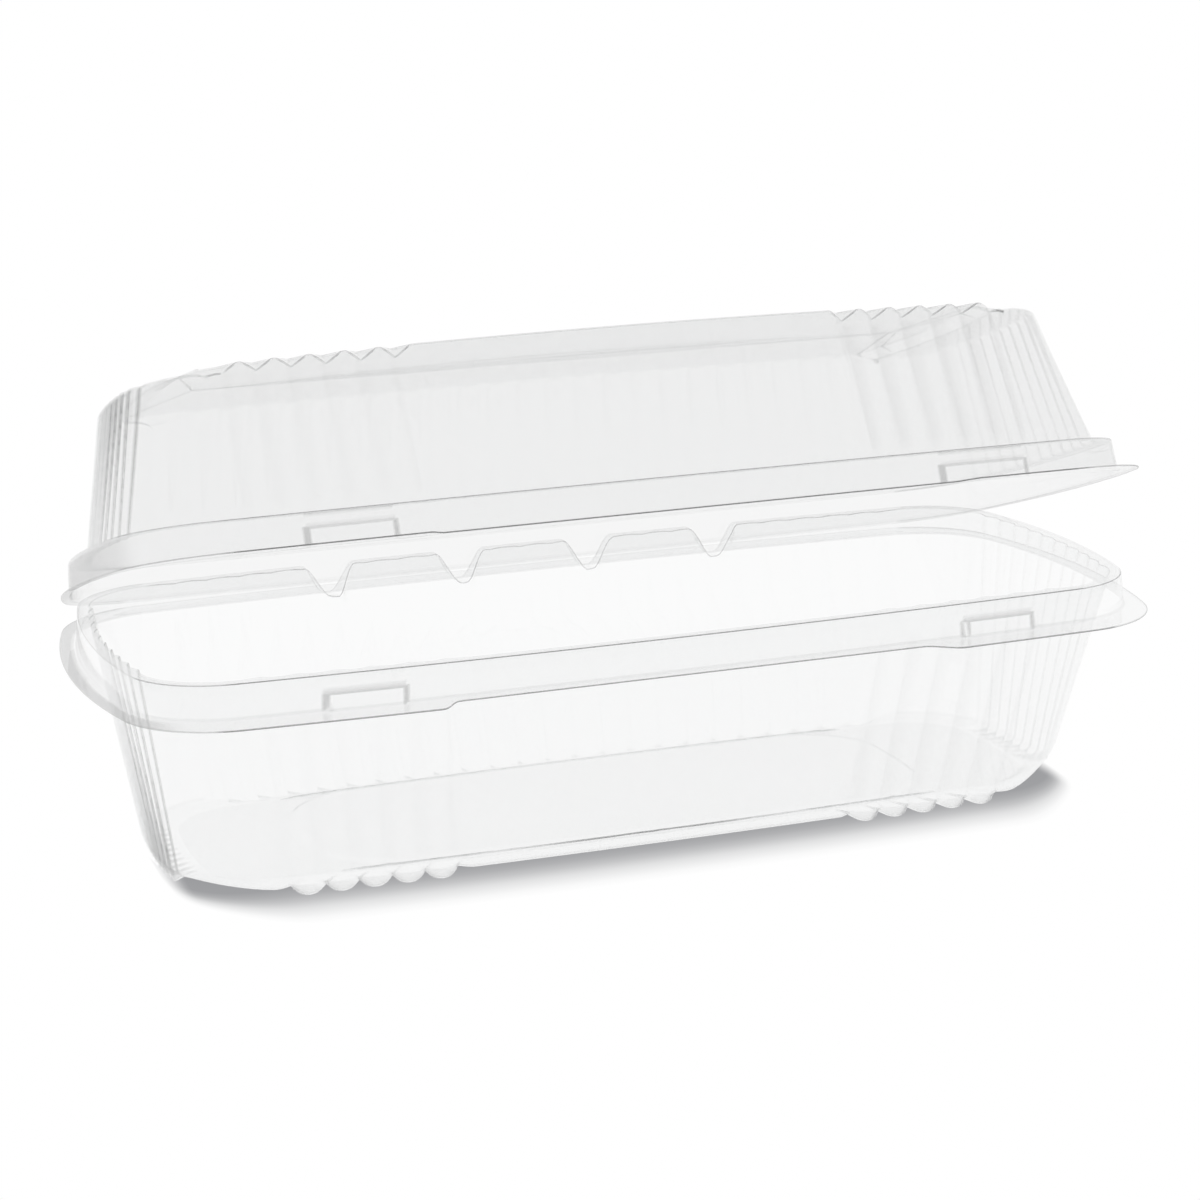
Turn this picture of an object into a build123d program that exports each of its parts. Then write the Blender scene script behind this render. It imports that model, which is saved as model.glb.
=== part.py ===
from build123d import *
import math
import os

# Clear hinged food pack, thermoformed from one sheet: a deep fluted tray and a domed fluted lid,
# joined along the back by a living hinge. Millimetres, +Z up, +X to the right, the front towards -Y.
# The origin is on the table under the middle of the tray.

# Sheet
sheet = 0.35                   # wall of the formed sheet
lid_clearance = 0.4            # gap between the lid's band and the tray's band
flange_gap = 0.3               # gap between the two flanges when the pack is shut
opening_angle = 17.0           # how far the lid stands open, degrees

# Long sides and ends bow outwards a little
side_bow_radius = 2100.0
end_bow_radius = 220.0

# Tray levels
rim_height = 64.0              # top of the tray's rim bead
flange_height = 55.0           # top face of the tray's flange
foot_lift = 2.2                # the tray's floor ring above the table, between the feet
panel_lift = 1.0               # raised middle panel above the floor round it

# Tray plan sizes: half the length, half the width, corner radius
rim_half_length = 144.5
rim_half_width = 64.8
rim_corner = 25.0
bead_width = 3.0               # flat top of the rim bead
band_draft = 0.8               # how far the band leans outwards from the rim to the flange
floor_half_length = 131.5
floor_half_width = 47.6
floor_corner = 42.0

# Middle panel of the floor
panel_half_length = 90.0
panel_half_width = 37.0
panel_corner = 26.0
panel_slope = 1.6              # run of the small slope round the panel

# Flange, with a narrow stretch in the middle of the front
flange_half_length = 150.0
flange_half_width = 76.0
flange_corner = 29.0
narrow_flange = 7.0            # how much narrower the flange is there
narrow_left = -61.0
narrow_right = 80.0
narrow_ramp = 6.0
hinge_depth = 75.0             # from the middle of the pack to the living hinge
hinge_gap = 0.3                # the thinned hinge web, between the two flanges' back edges

# Lid levels above the flange
shoulder_height = 49.2         # rounded shoulder round the lid's top
platform_rise = 3.0            # flat top above the shoulder
lid_bead_gap = 0.3             # lid ledge above the tray's rim when shut

# Lid plan sizes
ledge_width = 5.0              # step from the lid's band to its dome
shoulder_half_length = 132.7
shoulder_half_width = 50.4
shoulder_corner = 30.0
platform_foot_half_length = 115.5   # between the feet of the platform's sloped ends
platform_half_length = 109.5   # its flat top
platform_corner = 15.0
platform_shift = -5.5          # it stands a little to the left

# Vertical flutes
flute_bulge = 0.09             # how far the first and last half flutes bulge, as a share of their chord
flute_share = 0.28             # depth as a share of the pitch, at the floor and the lid's shoulder
rim_flute_share = 0.13         # where the flutes run out at the rim
platform_flute_share = 0.44    # notches between the flutes at the lid's top edge
front_flutes = 5               # at each end of the front wall
end_flutes = 9
back_flutes = 23
plain_share = 0.437            # half of the plain front, as a share of the half length
front_flute_share = 0.782      # where the flutes stop at the corner
back_flute_share = 0.782
lid_plain_end = 63.2           # where the lid's front flutes start, from the middle of the pack
lid_flute_end = 109.2          # and where they stop
end_flute_share = 0.60         # share of the half width at the rim
end_flute_share_floor = 0.50   # and at the floor, where the corners are rounder

# Feet under the flutes
foot_length = 8.0              # how far a foot runs in under the floor
foot_width_share = 0.86        # a foot's width as a share of the flutes' pitch
foot_setback_share = 0.2       # how far it starts in from the flute's crest
foot_sole_share = 0.5          # its flat underside as a share of its width
foot_tail_share = 0.3          # width of its inner end as a share of the outer end's
foot_tail_drop = 0.3           # how far the inner end still hangs below the floor
foot_flat = 0.3                # how far its slanting underside is cut off level on the table

# Snap locks
lock_inner = 77.0              # from the middle of the pack to each end of a lock
lock_outer = 98.6
lock_height = 3.8
lock_proud = 2.0
lid_lock_height = 5.4
lid_lock_margin = 1.2          # the lid's lock is longer by this at each end

# Notches across the tray's back bead, beside the hinge
notch_places = (-62.4, -22.4, 17.6, 57.6)
notch_half_width = 6.7
notch_tip_radius = 2.6
notch_floor = 0.4              # lowest point of a notch above the flange
notch_reach = 14.0             # from behind the band to inside the tray's wall

corner_pieces = 3              # arcs round each corner of the fluted wall
overlap = 1.0                  # how far cutting solids reach past what they cut


# Plan outline: four bowed sides and four round corners, in one quarter
class Plan:
    def __init__(self, half_length, half_width, corner):
        self.half_length = half_length
        self.half_width = half_width
        self.corner = corner
        self.side_centre = half_width - side_bow_radius
        self.end_centre = half_length - end_bow_radius
        self.corner_x, self.corner_y = self.corner_centre()
        self.side_turn = math.atan2(self.corner_x, self.corner_y - self.side_centre)
        self.end_turn = math.atan2(self.corner_x - self.end_centre, self.corner_y)

    # The corner's centre lies where the two bows, each less the corner radius, cross
    def corner_centre(self):
        reach_side = side_bow_radius - self.corner
        reach_end = end_bow_radius - self.corner
        span = math.hypot(self.side_centre, self.end_centre)
        along = (reach_side ** 2 - reach_end ** 2 + span ** 2) / (2 * span)
        across = math.sqrt(reach_side ** 2 - along ** 2)
        ux = self.end_centre / span
        uy = -self.side_centre / span
        return along * ux + across * uy, self.side_centre + along * uy - across * ux

    # Point of the outline whose outward normal is turned by this angle from the Y axis
    def point(self, turn):
        along = math.sin(turn)
        across = math.cos(turn)
        if turn <= self.side_turn:
            return side_bow_radius * along, self.side_centre + side_bow_radius * across
        if turn >= self.end_turn:
            return self.end_centre + end_bow_radius * along, end_bow_radius * across
        return self.corner_x + self.corner * along, self.corner_y + self.corner * across

    def turn_at_x(self, x):
        if x <= side_bow_radius * math.sin(self.side_turn):
            return math.asin(x / side_bow_radius)
        return math.asin((x - self.corner_x) / self.corner)

    def turn_at_y(self, y):
        if y <= end_bow_radius * math.cos(self.end_turn):
            return math.acos(y / end_bow_radius)
        return math.acos((y - self.corner_y) / self.corner)

    def grown(self, offset):
        corner = max(self.corner + offset, overlap)
        return Plan(self.half_length + offset, self.half_width + offset, corner)

    # Where the front's flutes start and stop, from the middle
    def front_flutes(self):
        return plain_share * self.half_length, front_flute_share * self.half_length


# A place on the outline: the wall it is on, and how far along it
def wall_point(plan, wall, along, inset=0.0):
    if wall in ("front", "back"):
        turn = plan.turn_at_x(abs(along))
        side_x = math.copysign(1, along)
        side_y = -1 if wall == "front" else 1
    else:
        turn = plan.turn_at_y(abs(along))
        side_x = 1 if wall == "right" else -1
        side_y = math.copysign(1, along)
    x, y = plan.point(turn)
    return Vector(side_x * (x - inset * math.sin(turn)), side_y * (y - inset * math.cos(turn)), 0)


def spaced(first, last, count):
    return [first + (last - first) * i / count for i in range(count + 1)]


# Where the flutes' grooves cross this outline, wall by wall, counter-clockwise from above
def groove_places(plan, end_share, front):
    plain, front_end = front
    back_end = back_flute_share * plan.half_length
    end_reach = end_share * plan.half_width
    return {
        "front": [spaced(-front_end, -plain, front_flutes), spaced(plain, front_end, front_flutes)],
        "right": [spaced(-end_reach, end_reach, end_flutes)],
        "back": [spaced(back_end, -back_end, back_flutes)],
        "left": [spaced(end_reach, -end_reach, end_flutes)],
    }


# Half a flute: from a groove out to the plain wall, or back
def half_flute(start, end):
    chord = end - start
    middle = start + chord * 0.5
    outward = Vector(chord.Y, -chord.X, 0).normalized()
    return ThreePointArc(start, middle + outward * (chord.length * flute_bulge), end)


# The plain stretch round a corner, between two turns of the normal
def corner_arcs(plan, start, end):
    side_x = 1 if (start.X + end.X) > 0 else -1
    side_y = 1 if (start.Y + end.Y) > 0 else -1
    turns = [plan_turn(plan, start), plan_turn(plan, end)]
    steps = spaced(turns[0], turns[1], 2 * corner_pieces)
    points = [Vector(side_x * plan.point(t)[0], side_y * plan.point(t)[1], 0) for t in steps]
    points[0] = start
    points[-1] = end
    return [ThreePointArc(*points[2 * i:2 * i + 3]) for i in range(corner_pieces)]


def plan_turn(plan, place):
    x = abs(place.X)
    y = abs(place.Y)
    if x <= plan.point(plan.side_turn)[0]:
        return plan.turn_at_x(x)
    if y <= plan.point(plan.end_turn)[1]:
        return plan.turn_at_y(y)
    return math.atan2(x - plan.corner_x, y - plan.corner_y)


# Closed outline of the fluted wall at one level. The crests of the flutes touch the plan,
# and the grooves lie in from it by a share of the pitch.
def fluted_face(plan, depth_share, end_share, front, height):
    walls = groove_places(plan, end_share, front)
    edges = []
    last = None
    first = None
    for wall in ("front", "right", "back", "left"):
        for places in walls[wall]:
            half_pitch = (places[1] - places[0]) / 2
            depth = abs(places[1] - places[0]) * depth_share
            entry = wall_point(plan, wall, places[0] - half_pitch)
            leave = wall_point(plan, wall, places[-1] + half_pitch)
            if last is None:
                first = entry
            elif wall == "front":
                edges.append(ThreePointArc(last, wall_point(plan, wall, 0), entry))
            else:
                edges += corner_arcs(plan, last, entry)
            edges.append(half_flute(entry, wall_point(plan, wall, places[0], depth)))
            for a, b in zip(places, places[1:]):
                groove = wall_point(plan, wall, a, depth)
                crest = wall_point(plan, wall, (a + b) / 2)
                edges.append(ThreePointArc(groove, crest, wall_point(plan, wall, b, depth)))
            edges.append(half_flute(wall_point(plan, wall, places[-1], depth), leave))
            last = leave
    edges += corner_arcs(plan, last, first)
    return Pos(0, 0, height) * make_face(Wire([e.edge() for e in edges]))


# Plain outline: four sides and four corners, each one arc
def plain_face(plan, height):
    side = plan.point(plan.side_turn)
    end = plan.point(plan.end_turn)
    corner = plan.point((plan.side_turn + plan.end_turn) / 2)
    edges = []
    for sx, sy in ((-1, -1), (1, -1), (1, 1), (-1, 1)):
        along_corner = (end, corner, side) if sx * sy > 0 else (side, corner, end)
        edges.append(ThreePointArc(*[(sx * x, sy * y) for x, y in along_corner]))
    edges.append(ThreePointArc((-side[0], -side[1]), (0, -plan.half_width), (side[0], -side[1])))
    edges.append(ThreePointArc((end[0], -end[1]), (plan.half_length, 0), (end[0], end[1])))
    edges.append(ThreePointArc((side[0], side[1]), (0, plan.half_width), (-side[0], side[1])))
    edges.append(ThreePointArc((-end[0], end[1]), (-plan.half_length, 0), (-end[0], -end[1])))
    return Pos(0, 0, height) * make_face(Wire.combine([e.edge() for e in edges])[0])


def ruled(*faces):
    return loft(list(faces), ruled=True)


# Tray

rim = Plan(rim_half_length, rim_half_width, rim_corner)
floor_plan = Plan(floor_half_length, floor_half_width, floor_corner)


# Solid inside a skin of the tray's wall: 0 for its outer face, the sheet for its inner face
def tray_wall(skin):
    high = rim.grown(-bead_width - skin)
    low = floor_plan.grown(-skin)
    top = fluted_face(high, rim_flute_share, end_flute_share, high.front_flutes(), rim_height + skin)
    bottom = fluted_face(low, flute_share, end_flute_share_floor, low.front_flutes(), foot_lift + skin)
    return ruled(bottom, top)


# Solid inside a skin of the band that hangs from the rim
def tray_band(skin, top, bottom):
    return ruled(plain_face(rim.grown(band_draft - skin), bottom), plain_face(rim.grown(-skin), top))


def flange_plate(bottom, top):
    outline = plain_face(Plan(flange_half_length, flange_half_width, flange_corner), bottom)
    plate = extrude(outline, top - bottom)
    front = -flange_half_width
    depth = front + narrow_flange
    cut = Polyline(
        (narrow_left - narrow_ramp, front - overlap),
        (narrow_left - narrow_ramp, front + side_sag(narrow_left)),
        (narrow_left, depth),
        (narrow_right, depth),
        (narrow_right + narrow_ramp, front + side_sag(narrow_right)),
        (narrow_right + narrow_ramp, front - overlap),
        close=True,
    )
    plate -= Pos(0, 0, bottom) * extrude(make_face(cut), top - bottom)
    return plate


# How far the bowed side lies in from its middle at this place
def side_sag(x):
    return side_bow_radius - math.sqrt(side_bow_radius ** 2 - x ** 2)


# A lock is a blunt block on the band, standing on the flange
def lock_blocks(face_y, foot, height, proud, margin):
    blocks = []
    for side in (-1, 1):
        middle = side * (lock_inner + lock_outer) / 2
        length = lock_outer - lock_inner + 2 * margin
        depth = bead_width + proud
        block = Box(length, depth, height, align=(Align.CENTER, Align.MIN, Align.MIN))
        blocks.append(Pos(middle, face_y - proud, foot) * block)
    return blocks


# Notches across the back bead, as seen from the front
def notch_cutters(skin):
    radius = notch_tip_radius + skin
    centre = flange_height + notch_floor + notch_tip_radius
    half = notch_half_width + skin
    top = rim_height + overlap
    wedge = Polyline((-radius, centre), (-half, top), (half, top), (radius, centre), close=True)
    profile = make_face(wedge) + Pos(0, centre) * Circle(radius)
    prism = Pos(0, rim_half_width + overlap, 0) * extrude(Plane.XZ * profile, amount=notch_reach)
    return [Pos(x, 0, 0) * prism for x in notch_places]


# A foot's cross-section: slanting sides below the floor and a flat sole
def foot_face(half_width, lowest, top, along):
    sole = half_width * foot_sole_share
    outline = Polyline(
        (half_width, foot_lift),
        (half_width, top),
        (-half_width, top),
        (-half_width, foot_lift),
        (-sole, lowest),
        (sole, lowest),
        close=True,
    )
    return Plane.XZ.offset(-along) * make_face(outline)


# One foot, its outer face on the XZ plane and its tail towards +Y
def foot(pitch, skin):
    half = pitch * foot_width_share / 2 - skin
    top = foot_lift + (sheet / 2 if skin == 0 else sheet + overlap)
    front = foot_face(half, skin - foot_flat, top, skin)
    tail = foot_face(half * foot_tail_share, foot_lift - foot_tail_drop + skin, top, foot_length - skin)
    return ruled(front, tail)


def feet(skin):
    placed = []
    walls = groove_places(floor_plan, end_flute_share_floor, floor_plan.front_flutes())
    for wall, rows in walls.items():
        pitch = abs(rows[0][1] - rows[0][0])
        one = foot(pitch, skin)
        for row in rows:
            for a, b in zip(row, row[1:]):
                middle = (a + b) / 2
                outer = wall_point(floor_plan, wall, middle)
                inner = wall_point(floor_plan, wall, middle, pitch * foot_setback_share)
                heading = (inner - outer).normalized()
                turn = math.degrees(math.atan2(-heading.X, heading.Y))
                placed.append(Pos(inner.X, inner.Y, 0) * Rot(0, 0, turn) * one)
    return placed


# Raised panel in the floor: its top with the sheet's thickness, or the hollow below it
def floor_panel(skin):
    foot_plan = Plan(panel_half_length, panel_half_width, panel_corner).grown(skin)
    start = foot_lift if skin else foot_lift - overlap
    run = panel_slope if skin else panel_slope * (panel_lift + overlap) / panel_lift
    low = plain_face(foot_plan.grown(0 if skin else run - panel_slope), start)
    high = plain_face(foot_plan.grown(-panel_slope), foot_lift + panel_lift + skin)
    return ruled(low, high)


def make_tray():
    sheet_bottom = flange_height - sheet
    wall = tray_wall(0)
    front_face = -(rim_half_width + band_draft - side_sag(lock_outer))
    shell = tray_band(0, rim_height, sheet_bottom) + flange_plate(sheet_bottom, flange_height)
    shell += lock_blocks(front_face, sheet_bottom, lock_height + sheet, lock_proud, 0)
    hollow = tray_band(sheet, rim_height - sheet, sheet_bottom - overlap)
    inner_height = lock_height + overlap
    inner_proud = lock_proud - sheet
    hollow += lock_blocks(front_face, sheet_bottom - overlap, inner_height, inner_proud, -sheet)
    hollow -= wall
    hollow -= notch_cutters(sheet)
    shell += wall
    shell -= notch_cutters(0)
    shell -= hollow
    shell += feet(0)
    shell -= tray_wall(sheet)
    shell -= feet(sheet)
    shell += floor_panel(sheet)
    shell -= floor_panel(0)
    level = (Align.CENTER, Align.CENTER, Align.MAX)
    table = Box(2 * flange_half_length, 2 * flange_half_width, overlap, align=level)
    return shell - table


# Lid, shaped in its shut position

lid_base = flange_height + flange_gap
ledge_top = rim_height + lid_bead_gap + sheet
lid_band_growth = lid_clearance + sheet
shoulder_top = lid_base + shoulder_height
platform_top = shoulder_top + platform_rise
shoulder_plan = Plan(shoulder_half_length, shoulder_half_width, shoulder_corner)
dome_foot_plan = rim.grown(lid_band_growth - ledge_width)
dome_slope = (dome_foot_plan.half_width - shoulder_half_width) / (shoulder_top - ledge_top)
lid_front = (lid_plain_end, lid_flute_end)


def lid_band(skin, top, bottom):
    growth = lid_band_growth - skin
    return ruled(plain_face(rim.grown(band_draft + growth), bottom), plain_face(rim.grown(growth), top))


def lid_dome(skin):
    low = dome_foot_plan.grown(-skin)
    high = shoulder_plan.grown(-skin)
    bottom = fluted_face(low, rim_flute_share, end_flute_share, lid_front, ledge_top - sheet - overlap)
    top = fluted_face(high, flute_share, end_flute_share, lid_front, shoulder_top - skin)
    return ruled(bottom, top)


# The flat top, with sloped ends, and notches between the flutes along its long edges
def lid_platform(skin):
    low = shoulder_plan.grown(-skin)
    high = low.grown(-platform_rise * dome_slope)
    bottom = fluted_face(low, flute_share, end_flute_share, lid_front, shoulder_top - skin)
    top = fluted_face(high, platform_flute_share, end_flute_share, lid_front, platform_top - skin)
    past = shoulder_half_width + overlap
    foot_plan = Plan(platform_foot_half_length - skin, past, platform_corner)
    end_plan = Plan(platform_half_length - skin, past, platform_corner)
    ends = ruled(plain_face(foot_plan, shoulder_top - skin), plain_face(end_plan, platform_top - skin))
    return ruled(bottom, top) & Pos(platform_shift, 0, 0) * ends


def make_lid():
    front_face = -(rim_half_width + band_draft + lid_band_growth - side_sag(lock_outer))
    shell = lid_band(0, ledge_top, lid_base) + flange_plate(lid_base, lid_base + sheet)
    shell += lock_blocks(front_face, lid_base, lid_lock_height, lock_proud, lid_lock_margin)
    shell += lid_dome(0)
    shell += lid_platform(0)
    shell -= lid_band(sheet, ledge_top - sheet, lid_base - overlap)
    block_height = lid_lock_height - sheet + overlap
    block_margin = lid_lock_margin - sheet
    shell -= lock_blocks(front_face, lid_base - overlap, block_height, lock_proud - sheet, block_margin)
    shell -= lid_dome(sheet) + lid_platform(sheet)
    return shell


# Both flanges end at the living hinge
def trimmed_at_hinge(shell):
    length = 2 * (flange_half_length + overlap)
    depth = flange_half_width - hinge_depth + 2 * overlap
    height = 2 * (platform_top + overlap)
    behind = Box(length, depth, height, align=(Align.CENTER, Align.MIN, Align.CENTER))
    return shell - Pos(0, hinge_depth - hinge_gap / 2, 0) * behind


hinge_axis = Axis((0, hinge_depth, flange_height + flange_gap / 2), (-1, 0, 0))


if __name__ == "__main__":
    os.makedirs("parts", exist_ok=True)
    tray = trimmed_at_hinge(make_tray())
    export_step(tray, "parts/base_tray.step")
    lid = trimmed_at_hinge(make_lid()).rotate(hinge_axis, opening_angle)
    export_step(lid, "parts/lid.step")
    for name, shell in (("base_tray", tray), ("lid", lid)):
        print(name, shell.is_valid, len(shell.solids()), round(shell.volume))
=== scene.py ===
import bpy
import math
from collections import namedtuple
import numpy as np
from mathutils import Matrix, Vector


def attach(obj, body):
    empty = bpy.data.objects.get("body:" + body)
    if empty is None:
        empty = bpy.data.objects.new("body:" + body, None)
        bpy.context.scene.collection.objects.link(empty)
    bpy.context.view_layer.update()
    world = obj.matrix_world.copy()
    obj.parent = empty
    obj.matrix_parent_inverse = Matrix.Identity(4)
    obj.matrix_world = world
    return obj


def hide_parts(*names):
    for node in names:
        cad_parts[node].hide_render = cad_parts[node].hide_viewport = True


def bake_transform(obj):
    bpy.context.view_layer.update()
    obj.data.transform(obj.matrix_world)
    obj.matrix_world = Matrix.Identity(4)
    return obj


# A clear hinged food pack, formed from one thin sheet. Each half is one mesh: rows of points run round
# the pack from the flange's edge to the middle of the floor or top. Sizes are in millimetres here.

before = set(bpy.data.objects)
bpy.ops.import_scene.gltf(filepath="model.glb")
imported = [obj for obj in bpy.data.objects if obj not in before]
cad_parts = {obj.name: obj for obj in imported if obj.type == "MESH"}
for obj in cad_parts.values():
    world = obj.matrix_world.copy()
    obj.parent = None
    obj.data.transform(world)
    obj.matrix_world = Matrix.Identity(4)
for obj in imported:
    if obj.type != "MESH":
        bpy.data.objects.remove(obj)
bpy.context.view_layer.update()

MM = 0.001

# Sheet and hinge
SHEET = 0.35
HINGE_Y = 75.0
HINGE_Z = 55.15
HINGE_GAP = 0.3
OPENING = math.radians(17.0)
HINGE_HALF = 69.0
HINGE_STEPS = 25
HINGE_LINE = (                 # y and z, from under the tray's flange round to the lid's
    (74.6, 54.93), (74.8, 54.95), (74.93, 55.04), (74.97, 55.15), (74.93, 55.26), (74.8, 55.34),
    (74.66, 55.38),
)

# Plan outlines. Flutes are (first place, last place, how many), as shares of the half length or width
SIDE_BOW = 2100.0
END_BOW = 220.0
LEAST_CORNER = 1.0
FRONT_FLUTES = ((-0.782, -0.437, 5), (0.437, 0.782, 5))
LID_FRONT_FLUTES = ((-109.2, -63.2, 5), (63.2, 109.2, 5))   # these stand upright, so in mm
END_FLUTES = ((-1.0, 1.0, 9),)
BACK_FLUTES = ((-0.782, 0.782, 23),)
LONG_SIDE = 30.0               # points further from the middle are on the front or the back

# Columns to a flute, and on the plain stretches
FRONT_STEPS = 12
END_STEPS = 8
TRAY_BACK_STEPS = 10
LID_BACK_STEPS = 8
PLAIN_STEPS = 24
CORNER_STEPS = 12

# Flute section, as shares of the pitch
GROOVE_ROUND = 0.035
SHALLOW = 0.13                 # depth at the tray's rim and the lid's foot
DEEP = 0.28                    # depth at the tray's foot and the lid's shoulder
RUNOUT = 1.5                   # power by which the last flute fades out
END_SPREAD = 0.6               # share of an end wall's half width that its flutes take
FLOOR_SPREAD = 0.5             # the same at the floor

# Tray: half length, half width and corner radius of each outline
RIM = (144.5, 64.8, 25.0)
RIM_Z = 64.0
FLANGE = (150.0, 76.0, 29.0)
FLANGE_Z = 55.0
FLOOR = (131.5, 47.6, 30.0)
FLOOR_Z = 2.2
CORNER_LIFT = (8.0, 2.0)       # the floor slopes up to its front corners, right and left
LIFT_SIDEWAYS = (102.0, 128.0)
LIFT_FORWARD = (12.0, 33.0)
BEAD = 3.0
DRAFT = 0.8
PANEL = (90.0, 37.0, 26.0)
PANEL_SLOPE = 1.6
PANEL_LIFT = 1.0
PANEL_MIDDLE = 5.0             # how far inside the panel's edge its flat face closes

# Feet
FOOT_LENGTH = 8.0
FOOT_SETBACK = 0.08            # share of the flute's width
FOOT_TOE = (-0.6, 0.3)         # the toe comes down over this stretch, from the setback
FOOT_FLAT = 1.12               # keeps the toe's end flat for a short way
RING = 10.5                    # floor ring that carries the feet

# Flange: the narrow stretch at the front, and where it ends at the right with the length of its ramp
NARROW = 7.0
NARROW_LEFT = -61.0
NARROW_RAMP = 6.0
TRAY_WIDE = (68.0, 10.0)
LID_WIDE = (80.0, 6.0)
LID_FLANGE_SHORT = 1.7         # the lid's flange is narrower at the left end
SHORT_FADE = (90.0, 150.0)

# Snap locks and notches
TRAY_LOCKS = ((-94.6, -73.6), (82.5, 103.2))
LID_LOCKS = ((-95.9, -72.7), (78.8, 104.4))
LOCK_PROUD = 1.2
LOCK_TOP = 4.8
LID_LOCK_TOP = 5.2
LOCK_FALL = 0.6                # height over which a lock's top runs back into the band
LOCK_SIDE = (-0.3, 0.5)        # how far inside its sides it starts and is all out
BAND_Y = -55.0                 # the front's band lies in front of this
BAND_REACH = (0.005, 1.2)      # share of the band's height that the locks are settled on
NOTCHES = (-63.6, -23.4, 16.7, 56.8)
NOTCH_HALF = 7.7
NOTCH_TIP = 0.9
NOTCH_FLOOR = 0.3
NOTCH_SINK = 0.15              # how much lower the notch meets the tray's inner wall

# Lid, in its shut position
LID_BASE = 55.3
LID_GROWTH = 0.75
LEDGE_Z = 64.65
LEDGE = 5.0
SHOULDER = (132.7, 50.4, 30.0)
SHOULDER_Z = 104.5
PLATFORM_Z = 107.5
PLATFORM_FOOT = (126.0, 114.4) # left and right
PLATFORM_END = (119.0, 109.0)
PLATFORM_ROUND = 1.5           # how softly the platform's ends turn
PLATFORM_TURN = 12.0           # length next to its ends that is pulled in
PLATFORM_CROWN = 1.1           # how much lower the platform lies at CROWN_REACH than in its middle
CROWN_REACH = 100.0
NOTCH_CROWN = 0.6              # share of the crown that the notches leave out
DOME_SLOPE = 0.252
SHOULDER_DROP = 4.0            # how much lower the shoulder lies along the long sides
FOOT_DROP = 3.2                # the same for the platform's foot
DROP_FADE = (110.0, 118.0)     # both end here, next to the corners
FOOT_INSET = 0.1
PLATE_INSET = 0.3
PLATE_NOTCH = 4.6              # how far a notch cuts into the flat top
PLATE_END_INSET = 2.0
END_STEP = 0.05                # at the ends, share of the slope that the wall's top takes
NOTCH_FLANK = 0.44             # run of a notch's flank, as a share of the pitch
SPINE = (0.93, 0.02, 1)        # middle line that the flat top closes on, as shares of its outline

# Mesh rows: shares of the way from one key row to the next, and steps round a crease
FLANGE_SHARES = (0.06, 0.36, 0.68)
TRAY_BAND_SHARES = (0.1, 0.2, 0.3, 0.34, 0.37, 0.4, 0.43, 0.5, 0.65, 0.8)
LID_BAND_SHARES = (0.12, 0.25, 0.38, 0.46, 0.49, 0.52, 0.55, 0.58, 0.7, 0.85)
RING_SHARES = (0.06, 0.12, 0.18, 0.24, 0.31, 0.4, 0.5, 0.6, 0.7, 0.8, 0.9)
WALL_ROWS = 9
ROUND_STEPS = 4
LONGEST_CUT = 0.45             # share of a short stretch that a rounding may take
TINY = 1e-6
TINY_AREA = 1e-9

# The creases of each half, from the flange's edge inward: how far each is rounded, and how dark it shows
# on the walls in the order of WALLS. This darkness is painted shade, drawn as grey lines along the
# creases.
WALLS = ("front", "left", "right", "back", "corner")
PLAIN = (0, 0, 0, 0, 0)
FAINT = (0.03, 0.03, 0.03, 0.03, 0.03)
TRAY_CREASES = {
    "edge": (0, (0.75, 0.15, 0.2, 0.05, 0.3)),
    "band foot": (0.7, (0.06, 0.05, 0.05, 0.02, 0.05)),
    "band top": (0.3, (0.8, 0.1, 0.2, 0.15, 0.5)),
    "wall top": (0.3, (0.1, 0.3, 0.15, 0.35, 0.1)),
    "wall foot": (1.1, (0.1, 0.1, 0.02, 0, 0.03)),
    "ring": (0.3, PLAIN),
    "panel foot": (0.4, (0.7, 0.02, 0.02, 0.1, 0.03)),
    "panel top": (0.5, FAINT),
    "middle": (0, PLAIN),
}
LID_CREASES = {
    "edge": (0, (1, 0.1, 0.6, 0.02, 0.4)),
    "band foot": (0.7, (0.04, 0.02, 0.02, 0.02, 0.02)),
    "band top": (0.3, (0.75, 0.2, 0.15, 0.03, 0.5)),
    "dome foot": (1.0, FAINT),
    "shoulder": (1.4, (0.05, 0.1, 0, 0, 0.05)),
    "platform foot": (0.4, (0.1, 0.05, 0, 0, 0.05)),
    "wall top": (0.3, (0.55, 0.05, 0, 0, 0.05)),
    "plate": (0.3, (0.5, 0.05, 0, 0, 0.02)),
    "spine": (0, PLAIN),
}

# How dark upright creases show on the same walls, as painted shade
LOCKS_DARK = (0.22, 0, 0, 0, 0)
GROOVES_DARK = (0, 0.36, 0.01, 0, 0)
FEET_DARK = (0.04, 0.06, 0, 0, 0)
LEFT_HIDDEN = 4.5              # the left wall's grooves up to this phase hardly show
LEFT_FAINT = 0.12

# Painted shade on a crease grows between these bends, in radians per mm, down the sheet and round it
BEND_DOWN = (0.3, 1.1)
BEND_ROUND = (0.2, 0.7)
BEND_SHORTEST = 0.15           # length that a bend is measured over, at least

# Soft greys of painted shade: bands down the front's grooves, the floor, and the flange at the left end
BAND_HALF = 0.34               # share of the pitch
TRAY_GREYS = (0.006, 0.02)     # left, right
LID_GREYS = (0.012, 0.045)
BAND_FADE_LOW = 5.0
BAND_FADE_HIGH = 3.0
TRAY_GREY_TOP = FLANGE_Z - 1.0
FLOOR_GREY = 0.02
END_GREY = 0.18
END_FADE = 10.0
TRAY_END = 130.0
LID_END = 136.0

# Clear sheet: gloss by how far it turns away, and painted shade where it turns almost edge-on
MIRROR_POWER = 5.0
MIRROR_EDGE = 0.85
MIRROR_FACE = 0.03
EDGE_POWER = 80.0

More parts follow.
